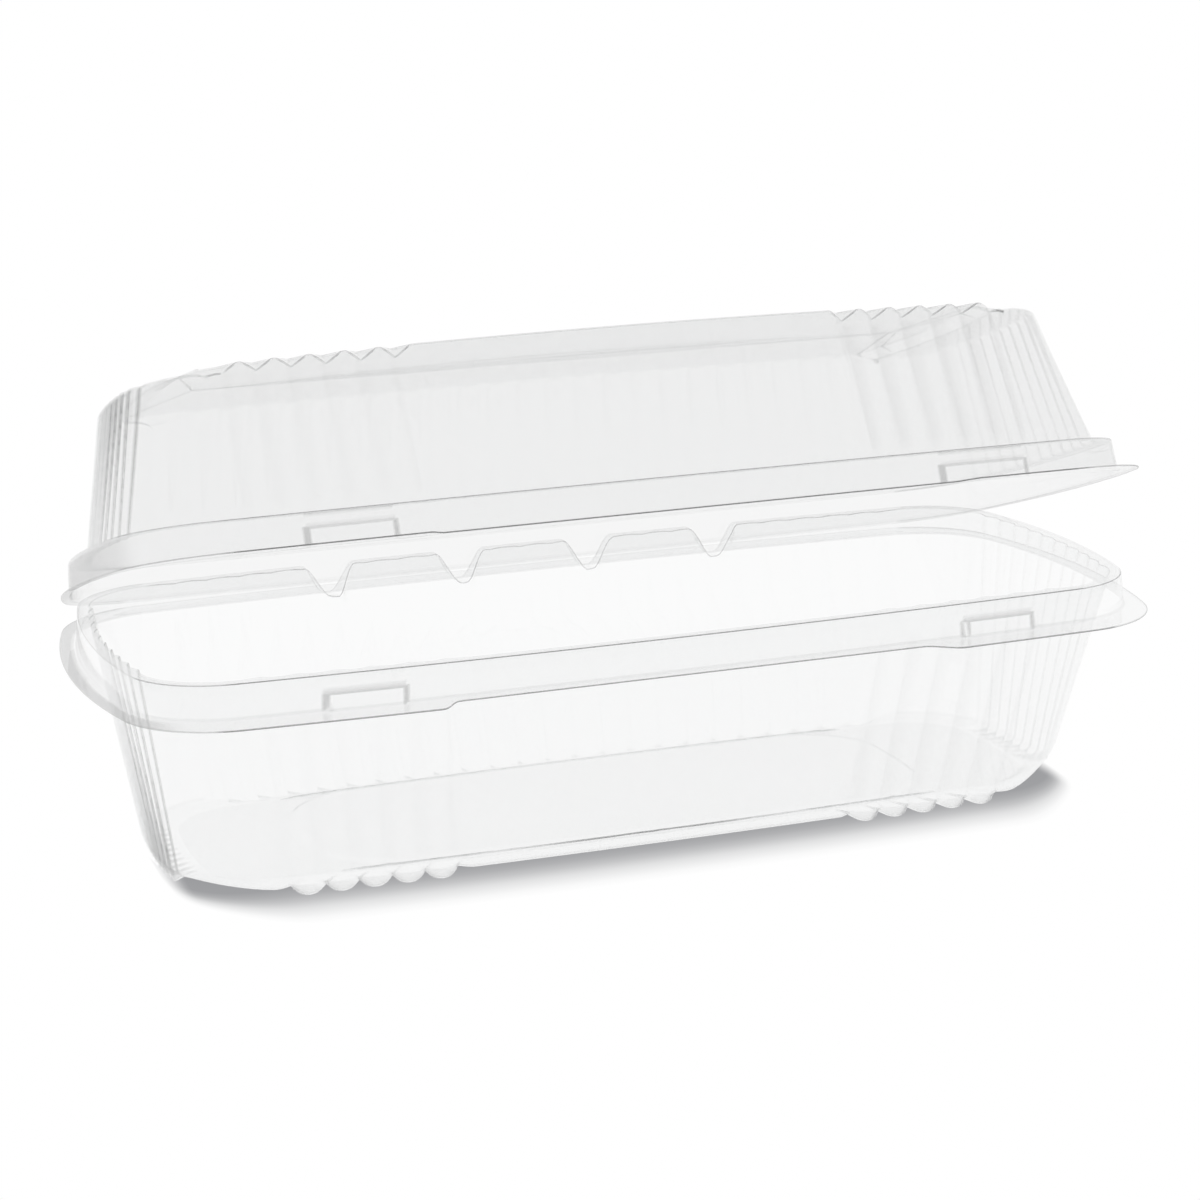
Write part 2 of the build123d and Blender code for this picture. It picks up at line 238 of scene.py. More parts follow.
# Shadow in front of the pack: (how far in front of the tray's foot, how dark), drawn out along the front
SHADE = (
    (-34, 0.67), (-9, 0.65), (-4.2, 0.593), (-1.8, 0.56), (0.6, 0.503), (3, 0.448), (5.4, 0.369),
    (9, 0.247), (12.6, 0.162), (17.4, 0.053), (22, 0.0),
)
SHADE_STEPS = 241
SHADE_STOP = 0.3               # how far before the foot's ends the patch stops
SHADE_FADE = (-1.0, 6.0)
SHADE_NARROW = (98.0, 128.0)   # the shadow becomes narrower between these
SHADE_NARROWEST = 0.5
SHADE_Z = 0.05
SHADE_TINT = (0, 0.004, 0.022, 1)
FOOT_SAMPLES = 400
FLOOR_REACH = 6                # metres

# World: the room's light on everything, and what is added for rays that show the world itself
ROOM_LEVEL = 0.4
SEEN_LEVEL = 0.6
SHINE_LEVEL = 0.54

# A wall column: its place along the wall in the direction of the walk, the flute phase there (counted
# from the first groove, None on plain stretches), how many flutes there are, and their pitch
Column = namedtuple("Column", "wall place phase flutes pitch")

# A corner column: the wall columns before and after the corner, and its share of the way between them
Corner = namedtuple("Corner", "wall before after share")

# A key row: its name and points, how far its crease is rounded and how dark it shows, shares of the way
# to the next key row, and how dark upright creases show on that stretch
Key = namedtuple("Key", "name points rounding dark shares upright")

# Signs of x and y on each wall; along the wall, the sign is for a positive place
SIGNS = {"front": (1, -1), "right": (1, 1), "back": (-1, 1), "left": (-1, -1)}


# Rounded rectangle with four bowed sides; a turn is the angle of the outward normal from the Y axis
class Plan:
    def __init__(self, half_length, half_width, corner, grow=0.0, front_reach=None):
        self.half_length = half_length + grow
        self.front_reach = front_reach or self.half_length
        self.half_width = half_width + grow
        self.corner = max(corner + grow, LEAST_CORNER)
        self.side_centre = self.half_width - SIDE_BOW
        self.end_centre = self.half_length - END_BOW
        reach_side = SIDE_BOW - self.corner
        reach_end = END_BOW - self.corner
        span = math.hypot(self.side_centre, self.end_centre)
        along = (reach_side ** 2 - reach_end ** 2 + span ** 2) / (2 * span)
        across = math.sqrt(reach_side ** 2 - along ** 2)
        ux = self.end_centre / span
        uy = -self.side_centre / span
        self.corner_x = along * ux + across * uy
        self.corner_y = self.side_centre + along * uy - across * ux
        self.side_turn = math.atan2(self.corner_x, self.corner_y - self.side_centre)
        self.end_turn = math.atan2(self.corner_x - self.end_centre, self.corner_y)

    def point(self, turn):
        if turn <= self.side_turn:
            x, y, radius = 0.0, self.side_centre, SIDE_BOW
        elif turn >= self.end_turn:
            x, y, radius = self.end_centre, 0.0, END_BOW
        else:
            x, y, radius = self.corner_x, self.corner_y, self.corner
        return x + radius * math.sin(turn), y + radius * math.cos(turn)

    def turn_at_x(self, x):
        if x <= SIDE_BOW * math.sin(self.side_turn):
            return math.asin(x / SIDE_BOW)
        return math.asin((x - self.corner_x) / self.corner)

    def turn_at_y(self, y):
        if y <= END_BOW * math.cos(self.end_turn):
            return math.acos(y / END_BOW)
        return math.acos((y - self.corner_y) / self.corner)


# The lid's front columns are placed in millimetres, all others as shares of the outline's half length
def lid_plan(size, grow=0.0):
    return Plan(*size, grow, front_reach=1.0)


def wall_columns(wall, flute_rows, steps):
    made = []
    for k, (first, last, count) in enumerate(flute_rows):
        pitch = (last - first) / count
        if k:
            start = made[-1].place
            end = first - pitch / 2
            for i in range(1, PLAIN_STEPS):
                made.append(Column(wall, start + (end - start) * i / PLAIN_STEPS, None, count, pitch))
        for i in range((count + 1) * steps + 1):
            phase = i / steps - 0.5
            made.append(Column(wall, first + pitch * phase, phase, count, pitch))
    return made


# Columns run counter-clockwise from above, from the front's left end
def all_columns(front_flutes, back_steps):
    walls = [
        wall_columns("front", front_flutes, FRONT_STEPS),
        wall_columns("right", END_FLUTES, END_STEPS),
        wall_columns("back", BACK_FLUTES, back_steps),
        wall_columns("left", END_FLUTES, END_STEPS),
    ]
    made = []
    for wall, following in zip(walls, walls[1:] + walls[:1]):
        made += wall
        for i in range(1, CORNER_STEPS):
            made.append(Corner("corner", wall[-1], following[0], i / CORNER_STEPS))
    return made


# One value for each column, by the wall it is on, from values in the order of WALLS
def by_wall(columns, values):
    chosen = dict(zip(WALLS, values))
    return np.array([chosen[column.wall] for column in columns])


def is_fluted(column):
    return column.wall != "corner" and column.phase is not None and 0 <= column.phase <= column.flutes


def from_groove(phase):
    return abs(phase - round(phase))


# How far past the first or last groove a column lies
def past_flutes(column):
    return -column.phase if column.phase < 0 else column.phase - column.flutes


def ramp(value, low, high):
    return np.clip((value - low) / (high - low), 0, 1)


def smooth_step(value, low, high):
    t = ramp(value, low, high)
    return t * t * (3 - 2 * t)


def even(count):
    return [i / count for i in range(1, count)]


# How far a flute's surface lies in from its crests, as a share of the pitch
def flute_dip(column, depth):
    if column.phase is None or depth <= 0:
        return 0.0
    if is_fluted(column):
        reach = from_groove(column.phase)
        reach = math.hypot(reach, GROOVE_ROUND) - GROOVE_ROUND * (1 - 2 * reach)
        radius = (0.25 + depth * depth) / (2 * depth)
        return radius - math.sqrt(max(radius * radius - (0.5 - reach) ** 2, 0))
    beyond = min(past_flutes(column) / 0.5, 1.0)
    beyond = math.hypot(beyond, 2 * GROOVE_ROUND) - 2 * GROOVE_ROUND * (1 - beyond)
    return depth * max(1 - beyond, 0) ** RUNOUT


def place_turn(plan, column, end_spread):
    if column.wall == "front":
        return plan.turn_at_x(abs(column.place) * plan.front_reach)
    if column.wall == "back":
        return plan.turn_at_x(abs(column.place) * plan.half_length)
    return plan.turn_at_y(abs(column.place) * end_spread * plan.half_width)


# Points of all columns on one outline, with the flutes of the long walls and the ends pressed in
def outline(columns, plan, z, side_depth=0.0, end_depth=0.0, end_spread=END_SPREAD):
    points = []
    for column in columns:
        if column.wall == "corner":
            start = place_turn(plan, column.before, end_spread)
            turn = start + (place_turn(plan, column.after, end_spread) - start) * column.share
            sign_x, sign_y = SIGNS[column.before.wall]
            inset = 0.0
        else:
            turn = place_turn(plan, column, end_spread)
            sign_x, sign_y = SIGNS[column.wall]
            if column.wall in ("front", "back"):
                sign_x *= math.copysign(1, column.place)
                reach = plan.front_reach if column.wall == "front" else plan.half_length
                inset = flute_dip(column, side_depth) * column.pitch * reach
            else:
                sign_y *= math.copysign(1, column.place)
                inset = flute_dip(column, end_depth) * column.pitch * end_spread * plan.half_width
        x, y = plan.point(turn)
        points.append((sign_x * (x - inset * math.sin(turn)), sign_y * (y - inset * math.cos(turn)), z))
    return np.array(points)


# The left wall's last grooves get lines of painted shade, the ones before them hardly
def groove_darkness(columns):
    dark = by_wall(columns, GROOVES_DARK)
    for i, column in enumerate(columns):
        if column.wall == "left" and column.phase < LEFT_HIDDEN:
            dark[i] *= LEFT_FAINT
    return dark


# Key rows of one half. Each stretch is named after the crease that it starts at, and holds that crease's
# points, the shares of the way to the next, and how dark upright creases show on it
def key_rows(columns, creases, stretches):
    keys = []
    for name, (points, shares, upright) in stretches.items():
        rounding, dark = creases[name]
        keys.append(Key(name, points, rounding, by_wall(columns, dark), shares, upright))
    return keys


# All rows, with rounded creases. Each row's weights say how dark the painted shade on bends down the
# sheet and round it shows.
# The first and last row of each crease are given by its name.
def sheet_rows(keys):
    rows = [keys[0].points]
    weights = [(keys[0].dark, 0.0)]
    taken = {keys[0].name: (0, 0)}
    lengths = [np.linalg.norm(b.points - a.points, axis=1) for a, b in zip(keys, keys[1:])]
    last_end = keys[0].points
    for k in range(1, len(keys)):
        corner = keys[k].points
        start = corner
        end = None
        if k + 1 < len(keys):
            before = keys[k - 1].points - corner
            after = keys[k + 1].points - corner
            shorter = np.minimum(lengths[k - 1], lengths[k])
            cut = np.minimum(keys[k].rounding, LONGEST_CUT * shorter)[:, None]
            start = corner + before / np.maximum(lengths[k - 1], TINY)[:, None] * cut
            end = corner + after / np.maximum(lengths[k], TINY)[:, None] * cut
        shares = keys[k - 1].shares
        upright = keys[k - 1].upright
        rows += [last_end + (start - last_end) * share for share in shares]
        weights += [(upright, upright)] * len(shares)
        first = len(rows)
        rows.append(start)
        weights.append((keys[k].dark, upright))
        if end is not None:
            for i in range(1, ROUND_STEPS):
                t = i / ROUND_STEPS
                rows.append(start * (1 - t) ** 2 + corner * 2 * t * (1 - t) + end * t * t)
                weights.append((keys[k].dark, np.maximum(upright, keys[k].upright)))
            rows.append(end)
            weights.append((keys[k].dark, keys[k].upright))
            last_end = end
        taken[keys[k].name] = (first, len(rows) - 1)
    return [row.copy() for row in rows], weights, taken


# The flange's outer edge: narrower in the middle of the front, and straight at the hinge
def flange_edge(columns, plan, z, wide):
    edge = outline(columns, plan, z)
    x = edge[:, 0]
    wide_from, wide_ramp = wide
    ramp_left = (x - (NARROW_LEFT - NARROW_RAMP)) / NARROW_RAMP
    ramp_right = (wide_from + wide_ramp - x) / wide_ramp
    depth = NARROW * smooth_step(np.minimum(ramp_left, ramp_right), 0, 1)
    sag = depth / NARROW * (FLANGE[1] + edge[:, 1])
    edge[:, 1] += np.where(edge[:, 1] < -LONG_SIDE, depth - sag, 0)
    edge[:, 1] = np.minimum(edge[:, 1], HINGE_Y - HINGE_GAP / 2)
    return edge


# How much of a lock's depth stands out here, from 0 to 1
def lock_share(points, foot, top, locks):
    share = np.zeros(len(points))
    up = 1 - smooth_step(points[:, 2] - foot, top - LOCK_FALL, top)
    for left, right in locks:
        inside = np.minimum(points[:, 0] - left, right - points[:, 0])
        share = np.maximum(share, smooth_step(inside, *LOCK_SIDE))
    return share * up * (points[:, 1] < -LONG_SIDE)


# The band's rows were drawn straight from the locks' outer face at its foot up to its top. Only the part
# below a lock's top stands out, so the rest is moved back.
def settle_locks(rows, lift, foot, lock_top, band_top, locks):
    for row in rows:
        up = (row[:, 2] - foot) / (band_top - foot)
        on_band = (up > BAND_REACH[0]) & (up < BAND_REACH[1]) & (row[:, 1] < BAND_Y)
        drawn = lift * np.clip(1 - up, 0, 1)
        wanted = LOCK_PROUD * lock_share(row, foot, lock_top, locks)
        row[:, 1] += np.where(on_band, drawn - wanted, 0)


# Height of the tray's bead along the back, with its four notches
def bead_height(points, bottom):
    height = np.full(len(points), RIM_Z)
    back = points[:, 1] > LONG_SIDE
    for x in NOTCHES:
        away = np.abs(points[:, 0] - x)
        cut = bottom + (RIM_Z - bottom) * smooth_step(away, NOTCH_TIP, NOTCH_HALF)
        height = np.where(back, np.minimum(height, cut), height)
    return height


def corner_lift(points):
    lift = np.where(points[:, 0] > 0, *CORNER_LIFT)
    sideways = smooth_step(np.abs(points[:, 0]), *LIFT_SIDEWAYS)
    return lift * sideways * smooth_step(-points[:, 1], *LIFT_FORWARD)


# The points on the lines from low to high at the wanted height
def to_height(low, high, height):
    share = (height - low[:, 2]) / (high[:, 2] - low[:, 2])
    return low + (high - low) * share[:, None]


# Feet hang under the floor ring, one below each flute; the share is the row's way across the ring
def press_feet(row, columns, share):
    for i, column in enumerate(columns):
        if not is_fluted(column):
            continue
        reach = FLOOR[0] if column.wall in ("front", "back") else FLOOR_SPREAD * FLOOR[1]
        width = column.pitch * reach
        dip = flute_dip(column, DEEP) * width
        inward = dip + (RING - dip) * share
        sideways = min(2 * abs(column.phase - math.floor(column.phase) - 0.5), 1)
        start = FOOT_SETBACK * width
        front = smooth_step(inward - start, *FOOT_TOE)
        back = ramp(start + FOOT_LENGTH - inward, 0, FOOT_LENGTH)
        round_toe = math.sqrt(1 - sideways ** 2)
        row[i, 2] -= FLOOR_Z * front * min(back * FOOT_FLAT, 1) * round_toe


# Painted shade on the sheet at each point: 0 on flat walls, up to its row's weights where it bends
# sharply
def crease_shares(rows, weights):
    grid = np.array(rows)
    down = np.diff(grid, axis=0)
    along = np.roll(grid, -1, axis=1) - grid
    normal = np.cross(down, (along[:-1] + along[1:]) / 2)
    normal /= np.maximum(np.linalg.norm(normal, axis=2), TINY_AREA)[:, :, None]
    width = np.maximum(np.linalg.norm(down, axis=2), BEND_SHORTEST)
    turn = np.linalg.norm(np.diff(normal, axis=0), axis=2)
    bend_down = np.zeros(grid.shape[:2])
    bend_down[1:-1] = turn / (0.5 * (width[:-1] + width[1:]))
    side = np.linalg.norm(normal - np.roll(normal, 1, axis=1), axis=2)
    gap = np.maximum(np.linalg.norm(along, axis=2), BEND_SHORTEST)
    gap = 0.5 * (gap + np.roll(gap, 1, axis=1))
    bend_round = np.zeros(grid.shape[:2])
    bend_round[:-1] = side / gap[:-1]
    count = grid.shape[1]
    down_weight = np.array([np.broadcast_to(weight[0], count) for weight in weights])
    round_weight = np.array([np.broadcast_to(weight[1], count) for weight in weights])
    down_share = ramp(bend_down, *BEND_DOWN) * down_weight
    round_share = ramp(bend_round, *BEND_ROUND) * round_weight
    shares = np.maximum(down_share, round_share)
    shares[0] = down_weight[0]
    return shares


# Painted shade: soft grey bands down the front's grooves, stronger on the right
def groove_bands(rows, columns, low, high, greys):
    left_grey, right_grey = greys
    bands = []
    for column in columns:
        band = 0.0
        if column.wall == "front" and is_fluted(column):
            band = max(1 - from_groove(column.phase) / BAND_HALF, 0)
            band *= left_grey if column.place < 0 else right_grey
        bands.append(band)
    z = np.array(rows)[:, :, 2]
    foot_fade = smooth_step(z, low, low + BAND_FADE_LOW)
    return np.array(bands) * foot_fade * (1 - smooth_step(z, high - BAND_FADE_HIGH, high))


# The flange is greyer at the left end, painted shade where it turns away from the light
def end_grey(rows, end_x):
    return END_GREY * smooth_step(-np.array(rows)[:, :, 0], end_x, end_x + END_FADE)


# Rows of the tray with the weights of its creases' painted shade and its soft painted greys
def tray_rows(columns):
    floor_z = FLOOR_Z + SHEET
    panel_z = floor_z + PANEL_LIFT
    edge = flange_edge(columns, Plan(*FLANGE), FLANGE_Z, TRAY_WIDE)
    band_foot = outline(columns, Plan(*RIM, DRAFT), FLANGE_Z)
    band_top = outline(columns, Plan(*RIM), RIM_Z)
    wall_top = outline(columns, Plan(*RIM, -BEAD - SHEET), RIM_Z, SHALLOW, SHALLOW)
    wall_foot = outline(columns, Plan(*FLOOR, -SHEET), floor_z, DEEP, DEEP, FLOOR_SPREAD)
    ring = outline(columns, Plan(*FLOOR, -RING), floor_z, end_spread=FLOOR_SPREAD)
    panel_foot = outline(columns, Plan(*PANEL, SHEET), floor_z, end_spread=FLOOR_SPREAD)
    panel_top = outline(columns, Plan(*PANEL, -PANEL_SLOPE), panel_z, end_spread=FLOOR_SPREAD)
    middle_plan = Plan(*PANEL, -PANEL_SLOPE - PANEL_MIDDLE)
    middle = outline(columns, middle_plan, panel_z, end_spread=FLOOR_SPREAD)
    wall_foot[:, 2] += corner_lift(wall_foot)
    bottom = FLANGE_Z + NOTCH_FLOOR
    band_top = to_height(band_foot, band_top, bead_height(band_top, bottom))
    wall_top = to_height(wall_foot, wall_top, bead_height(wall_top, bottom - NOTCH_SINK))
    lift = LOCK_PROUD * lock_share(band_foot, FLANGE_Z, LOCK_TOP, TRAY_LOCKS)
    band_foot[:, 1] -= lift
    rows, weights, taken = sheet_rows(key_rows(columns, TRAY_CREASES, {
        "edge": (edge, FLANGE_SHARES, 0),
        "band foot": (band_foot, TRAY_BAND_SHARES, by_wall(columns, LOCKS_DARK)),
        "band top": (band_top, even(2), 0),
        "wall top": (wall_top, even(WALL_ROWS), groove_darkness(columns)),
        "wall foot": (wall_foot, RING_SHARES, by_wall(columns, FEET_DARK)),
        "ring": (ring, even(2), 0),
        "panel foot": (panel_foot, even(2), 0),
        "panel top": (panel_top, even(2), 0),
        "middle": (middle, (), 0),
    }))
    flange_end = taken["band foot"][0]
    band_end = taken["band top"][0]
    ring_start = taken["wall foot"][1]
    ring_end = taken["ring"][0] + 1
    settle_locks(rows[:band_end], lift, FLANGE_Z, LOCK_TOP, RIM_Z, TRAY_LOCKS)
    plain = len(columns) // 8      # a column on the plain middle of the front
    span = np.linalg.norm(ring[plain] - wall_foot[plain])
    for row in rows[ring_start:ring_end]:
        press_feet(row, columns, np.linalg.norm(row[plain] - wall_foot[plain]) / span)
    soft = groove_bands(rows, columns, FLOOR_Z, TRAY_GREY_TOP, TRAY_GREYS)
    soft[:flange_end] = end_grey(rows[:flange_end], TRAY_END)
    # A faint painted shade over the tray's floor
    soft[ring_end:] = FLOOR_GREY
    return rows, weights, soft


# The flat top's ends stand in from the shoulder
def pulled_in(points, ends):
    limit = np.where(points[:, 0] < 0, *ends) - points[:, 1] ** 2 / (2 * END_BOW)
    along = np.abs(points[:, 0])
    kept = 0.5 * (along + limit - np.sqrt((along - limit) ** 2 + PLATFORM_ROUND ** 2))
    kept = np.where(along < limit - PLATFORM_TURN, along, kept)
    moved = points.copy()
    moved[:, 0] = np.sign(points[:, 0]) * kept
    return moved


def crown(points):
    return PLATFORM_CROWN * (points[:, 0] / CROWN_REACH) ** 2


# How far the platform's long edges are notched down between the flutes: 1 at a groove, at the ends and at
# the corners, 0 on crests
def notch_depth(columns):
    shares = []
    for column in columns:
        if column.wall in ("corner", "right", "left"):
            shares.append(1.0)
        elif column.phase is None:
            shares.append(0.0)
        elif is_fluted(column):
            shares.append(max(1 - from_groove(column.phase) / NOTCH_FLANK, 0))
        else:
            to_plain = column.wall == "front" and column.place * (1 if column.phase < 0 else -1) > 0
            shares.append(max(1 - past_flutes(column) / NOTCH_FLANK, 0) if to_plain else 1.0)
    return np.array(shares)


# Turns the lid from its shut position to how far it stands open at rest
def open_lid(rows):
    for row in rows:
        y = row[:, 1] - HINGE_Y
        z = row[:, 2] - HINGE_Z
        row[:, 1] = HINGE_Y + y * math.cos(OPENING) + z * math.sin(OPENING)
        row[:, 2] = HINGE_Z - y * math.sin(OPENING) + z * math.cos(OPENING)


# Rows of the open lid with the weights of its creases' painted shade and its soft painted greys
def lid_rows(columns):
    flange_z = LID_BASE + SHEET
    edge = flange_edge(columns, lid_plan(FLANGE), flange_z, LID_WIDE)
    edge[:, 0] += LID_FLANGE_SHORT * smooth_step(-edge[:, 0], *SHORT_FADE)
    band_foot = outline(columns, lid_plan(RIM, DRAFT + LID_GROWTH), flange_z)
    band_top = outline(columns, lid_plan(RIM, LID_GROWTH), LEDGE_Z)
    dome_foot = outline(columns, lid_plan(RIM, LID_GROWTH - LEDGE), LEDGE_Z, SHALLOW, SHALLOW)
    brow = outline(columns, lid_plan(SHOULDER), SHOULDER_Z, DEEP, DEEP)

    # Along the long sides the wall's own line carries on to the platform's edge
    on_long_side = np.abs(brow[:, 1]) > LONG_SIDE
    lowered = (1 - smooth_step(np.abs(brow[:, 0]), *DROP_FADE)) * on_long_side
    shoulder = to_height(dome_foot, brow, SHOULDER_Z - SHOULDER_DROP * lowered)
    foot = outline(columns, lid_plan(SHOULDER, -FOOT_INSET), SHOULDER_Z, DEEP)
    foot = pulled_in(foot, PLATFORM_FOOT)
    dropped = to_height(dome_foot, brow, SHOULDER_Z - FOOT_DROP * lowered)
    lowered = lowered[:, None]
    foot = foot + (dropped - foot) * lowered

    # The platform, with its notched long edges
    rise = PLATFORM_Z - SHOULDER_Z
    notch = notch_depth(columns)
    long_wall = by_wall(columns, (1, 0, 0, 1, 0))
    plate = outline(columns, lid_plan(SHOULDER, -rise * DOME_SLOPE), PLATFORM_Z)
    inset = PLATE_INSET + PLATE_NOTCH * notch * long_wall + PLATE_END_INSET * (1 - long_wall)
    plate[:, 1] -= np.where(np.abs(plate[:, 1]) > LONG_SIDE, np.sign(plate[:, 1]) * inset, 0)
    plate = pulled_in(plate, PLATFORM_END)
    wall_top = to_height(dome_foot, brow, PLATFORM_Z - rise * notch)
    wall_top = foot + (wall_top - foot) * lowered + (1 - lowered) * (plate - foot) * END_STEP
    wall_top[:, 2] -= crown(wall_top) * (1 - NOTCH_CROWN * notch)
    plate[:, 2] -= crown(plate)
    spine = plate * SPINE
    spine[:, 2] = PLATFORM_Z - crown(spine)

    lift = LOCK_PROUD * lock_share(band_foot, flange_z, LID_LOCK_TOP, LID_LOCKS)
    band_foot[:, 1] -= lift
    rows, weights, taken = sheet_rows(key_rows(columns, LID_CREASES, {
        "edge": (edge, FLANGE_SHARES, 0),
        "band foot": (band_foot, LID_BAND_SHARES, by_wall(columns, LOCKS_DARK)),
        "band top": (band_top, even(3), 0),
        "dome foot": (dome_foot, even(WALL_ROWS), groove_darkness(columns)),
        "shoulder": (shoulder, even(2), 0),
        "platform foot": (foot, even(2), 0),
        "wall top": (wall_top, even(3), 0),
        "plate": (plate, even(4), 0),
        "spine": (spine, (), 0),
    }))
    band_end = taken["band top"][0]
    settle_locks(rows[:band_end], lift, flange_z, LID_LOCK_TOP, LEDGE_Z, LID_LOCKS)
    soft = groove_bands(rows, columns, LEDGE_Z, SHOULDER_Z, LID_GREYS)
    soft[:band_end] = end_grey(rows[:band_end], LID_END)
    open_lid(rows)
    return rows, weights, soft


# Nodes of the materials and the world
def add_node(tree, kind, **values):
    node = tree.nodes.new(kind)
    for key, value in values.items():
        socket = key.replace("_", " ")
        if socket in node.inputs:
            node.inputs[socket].default_value = value
        else:
            setattr(node, key, value)
    return node


def math_node(tree, operation, first, second, clamp=False):
    node = tree.nodes.new("ShaderNodeMath")
    node.operation = operation
    node.use_clamp = clamp
    for i, value in enumerate((first, second)):
        if isinstance(value, (int, float)):
            node.inputs[i].default_value = value
        else:
            tree.links.new(value, node.inputs[i])
    return node.outputs[0]


def empty_tree(owner):
    owner.use_nodes = True
    owner.node_tree.nodes.clear()
    return owner.node_tree


def mix_shaders(tree, share, first, second):
    mix = tree.nodes.new("ShaderNodeMixShader")
    tree.links.new(share, mix.inputs[0])
    tree.links.new(first.outputs[0], mix.inputs[1])
    tree.links.new(second.outputs[0], mix.inputs[2])
    return mix


# Clear sheet: see-through with a glossy skin and a faint grey haze, and painted shade where it turns away
# and along its creases
def clear_sheet(name, film, crease_strength, edge_strength):
    material = bpy.data.materials.new(name)
    tree = empty_tree(material)
    out = tree.nodes.new("ShaderNodeOutputMaterial")
    see = add_node(tree, "ShaderNodeBsdfTransparent", Color=(0.994, 0.995, 0.995, 1))
    gloss = add_node(tree, "ShaderNodeBsdfGlossy", Color=(0.98, 0.98, 0.98, 1), Roughness=0.03)
    haze_and_shade = add_node(tree, "ShaderNodeBsdfPrincipled", Base_Color=(0.17, 0.17, 0.172, 1), Roughness=0.35)
    facing = add_node(tree, "ShaderNodeLayerWeight", Blend=0.5)
    grazing = math_node(tree, "POWER", facing.outputs["Facing"], MIRROR_POWER)
    mirror = math_node(tree, "ADD", math_node(tree, "MULTIPLY", grazing, MIRROR_EDGE), MIRROR_FACE)
    skin = mix_shaders(tree, mirror, see, gloss)
    # Painted shade: the grey is mixed in along the creases and where the sheet turns edge-on
    crease = add_node(tree, "ShaderNodeAttribute", attribute_name="crease")
    turned = math_node(tree, "POWER", facing.outputs["Facing"], EDGE_POWER)
    turned = math_node(tree, "MULTIPLY", turned, edge_strength)
    lined = math_node(tree, "MULTIPLY", crease.outputs["Fac"], crease_strength)
    share = math_node(tree, "ADD", turned, lined)
    share = math_node(tree, "ADD", share, film, clamp=True)
    tree.links.new(mix_shaders(tree, share, skin, haze_and_shade).outputs[0], out.inputs[0])
    return material


tray_clear = clear_sheet("clear_tray", film=0.012, crease_strength=0.9, edge_strength=0.35)
lid_clear = clear_sheet("clear_lid", film=0.038, crease_strength=0.9, edge_strength=0.45)
cut_edge = clear_sheet("cut_edge", film=0.05, crease_strength=0.8, edge_strength=0.2)


# Faces between rows of points; closed rows run round and meet
def grid_faces(rows, across, closed=False):
    faces = []
    for r in range(rows - 1):
        for i in range(across if closed else across - 1):
            j = (i + 1) % across
            near = r * across
            far = near + across
            faces.append((near + i, near + j, far + j, far + i))
    return faces


def add_mesh(name, points, faces, *materials):
    mesh = bpy.data.meshes.new(name)
    mesh.from_pydata(points, [], faces)
    for material in materials:
        mesh.materials.append(material)
    piece = bpy.data.objects.new(name, mesh)
    bpy.context.scene.collection.objects.link(piece)
    return piece


def smooth_faces(mesh):
    mesh.polygons.foreach_set("use_smooth", [True] * len(mesh.polygons))


def point_values(mesh, name, values):
    mesh.attributes.new(name, "FLOAT", "POINT").data.foreach_set("value", values)


def mesh_object(name, rows, weights, soft, material, body, node):
    count = len(rows[0])
    points = [tuple(point) for point in np.concatenate(rows) * MM]
    faces = grid_faces(len(rows), count, closed=True)
    last = (len(rows) - 1) * count
    faces.append([last + i for i in range(count)])
    piece = add_mesh(name, points, faces, material, cut_edge)
    piece.data.validate()
    smooth_faces(piece.data)
    # The crease attribute carries the painted shade along the creases and the soft painted greys
    point_values(piece.data, "crease", np.maximum(crease_shares(rows, weights), soft).ravel())
    thick = piece.modifiers.new("sheet", "SOLIDIFY")
    thick.thickness = SHEET * MM
    thick.offset = -1.0
    thick.use_even_offset = False
    thick.material_offset_rim = 1
    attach(piece, body)
    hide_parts(node)


tray_columns = all_columns(FRONT_FLUTES, TRAY_BACK_STEPS)
lid_columns = all_columns(LID_FRONT_FLUTES, LID_BACK_STEPS)
mesh_object("tray_sheet", *tray_rows(tray_columns), tray_clear, "base", "base_tray")
mesh_object("lid_sheet", *lid_rows(lid_columns), lid_clear, "lid", "lid")

# Living hinge: a thin strip of the same sheet, from under the tray's flange edge round to the lid's
across = np.linspace(-HINGE_HALF, HINGE_HALF, HINGE_STEPS)
points = [(x * MM, y * MM, z * MM) for y, z in HINGE_LINE for x in across]
strip = add_mesh("hinge_strip", points, grid_faces(len(HINGE_LINE), HINGE_STEPS), tray_clear)
smooth_faces(strip.data)
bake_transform(strip)

# Camera, from the photograph
camera = bpy.data.objects.new("camera", bpy.data.cameras.new("camera"))
bpy.context.scene.collection.objects.link(camera)
right = Vector((0.94757, -0.31805, -0.03089))
up = Vector((0.10257, 0.21122, 0.97204))
forward = Vector((0.30263, 0.92425, -0.23277))
place = Vector((-0.25595, -0.78129, 0.25668))
turn = Matrix((right, up, -forward)).transposed()
camera.matrix_world = Matrix.Translation(place) @ turn.to_4x4()
camera.data.lens = 90.0
camera.data.sensor_width = 36.0
camera.data.clip_start = 0.01
scene = bpy.context.scene
scene.camera = camera
scene.view_settings.view_transform = "Standard"
scene.cycles.transparent_max_bounces = 40


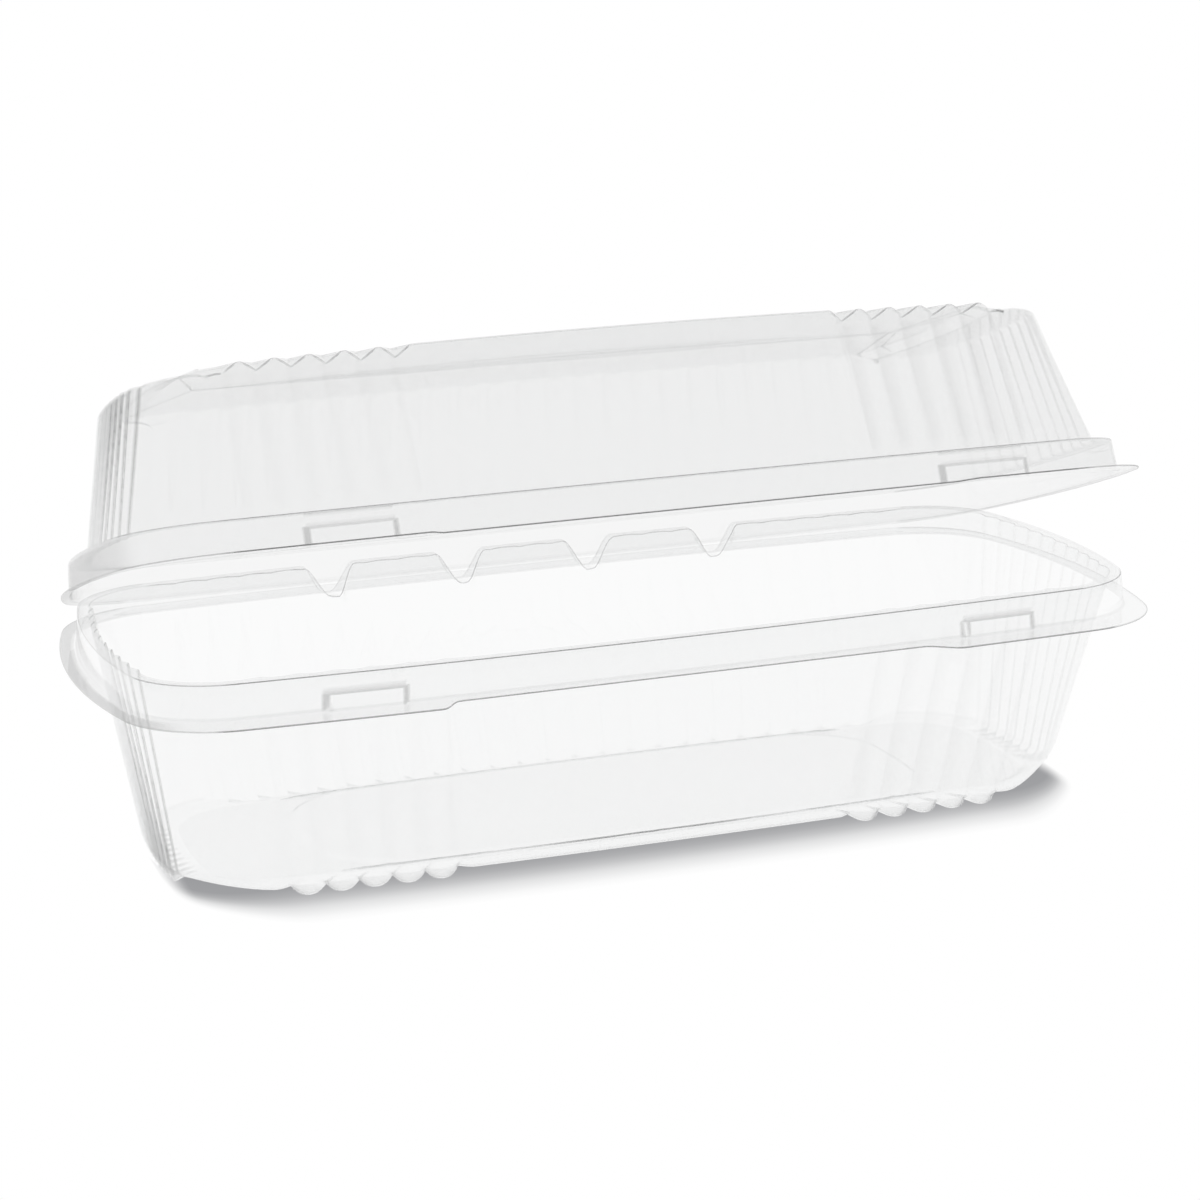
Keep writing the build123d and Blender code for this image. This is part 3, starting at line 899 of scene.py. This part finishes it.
# White for the eye, and a plain diffuse floor for the light that falls on the pack. The shade darkens it
# only where it is seen directly, since the sheet's curves fill what lies behind them with light.
def floor_paint(name, shaded):
    material = bpy.data.materials.new(name)
    tree = empty_tree(material)
    out = tree.nodes.new("ShaderNodeOutputMaterial")
    paint = add_node(tree, "ShaderNodeBsdfDiffuse", Color=(0.8, 0.8, 0.8, 1))
    glow = add_node(tree, "ShaderNodeEmission", Color=(1, 1, 1, 1), Strength=1.0)
    path = tree.nodes.new("ShaderNodeLightPath")
    if shaded:
        shade = add_node(tree, "ShaderNodeAttribute", attribute_name="shade")
        direct = math_node(tree, "LESS_THAN", path.outputs["Transparent Depth"], 0.5)
        tint = tree.nodes.new("ShaderNodeMix")
        tint.data_type = "RGBA"
        factor = tint.inputs[0]
        white, dark = tint.inputs[6:8]     # a mix node's two colours
        mixed = tint.outputs[2]
        white.default_value = (1, 1, 1, 1)
        dark.default_value = SHADE_TINT
        tree.links.new(math_node(tree, "MULTIPLY", shade.outputs["Fac"], direct), factor)
        tree.links.new(mixed, glow.inputs["Color"])
    seen = math_node(tree, "MAXIMUM", path.outputs["Is Camera Ray"], path.outputs["Is Glossy Ray"])
    seen = math_node(tree, "MAXIMUM", seen, path.outputs["Is Transmission Ray"])
    tree.links.new(mix_shaders(tree, seen, paint, glow).outputs[0], out.inputs[0])
    return material


# Floor
corners = [(x * FLOOR_REACH, y * FLOOR_REACH, 0) for x, y in ((-1, -1), (1, -1), (1, 1), (-1, 1))]
floor = add_mesh("floor", corners, [(0, 1, 2, 3)], floor_paint("floor_white", False))


# Patch of floor that carries the shadow, along the tray's front foot
def shade_patch():
    foot_plan = Plan(*FLOOR)
    foot_line = np.array([foot_plan.point(turn) for turn in np.linspace(0, math.pi / 2, FOOT_SAMPLES)])
    far = np.linspace(-FLOOR[0] + SHADE_STOP, FLOOR[0] - SHADE_STOP, SHADE_STEPS)
    foot_y = -np.interp(np.abs(far), foot_line[:, 0], foot_line[:, 1])
    fade = smooth_step(FLOOR[0] - np.abs(far), *SHADE_FADE)
    narrower = 1 - (1 - SHADE_NARROWEST) * smooth_step(np.abs(far), *SHADE_NARROW)
    points = []
    shades = []
    for reach, dark in SHADE:
        points += [(x * MM, y * MM, SHADE_Z * MM) for x, y in zip(far, foot_y - reach * narrower)]
        shades += list(dark * fade)
    faces = [(a, d, c, b) for a, b, c, d in grid_faces(len(SHADE), SHADE_STEPS)]
    made = add_mesh("floor_shade", points, faces, floor_paint("floor_shade", True))
    point_values(made.data, "shade", shades)
    return made


patch = shade_patch()

# World: white where it is seen, and a soft room for the light
world = bpy.data.worlds.new("world")
tree = empty_tree(world)
out = tree.nodes.new("ShaderNodeOutputWorld")
sky = add_node(tree, "ShaderNodeBackground", Color=(1, 1, 1, 1))
path = tree.nodes.new("ShaderNodeLightPath")
seen = math_node(tree, "MAXIMUM", path.outputs["Is Camera Ray"], path.outputs["Is Transmission Ray"])
seen = math_node(tree, "MULTIPLY", seen, SEEN_LEVEL)
shine = math_node(tree, "MULTIPLY", path.outputs["Is Glossy Ray"], SHINE_LEVEL)
level = math_node(tree, "ADD", math_node(tree, "ADD", seen, shine), ROOM_LEVEL)
tree.links.new(level, sky.inputs["Strength"])
tree.links.new(sky.outputs[0], out.inputs[0])
scene.world = world

sun = bpy.data.objects.new("sun", bpy.data.lights.new("sun", "SUN"))
sun.data.energy = 2.2
sun.data.angle = math.radians(14)
sun.visible_glossy = False
sun.rotation_euler = Vector((0.06, -0.12, -1)).to_track_quat("-Z", "Y").to_euler()
scene.collection.objects.link(sun)
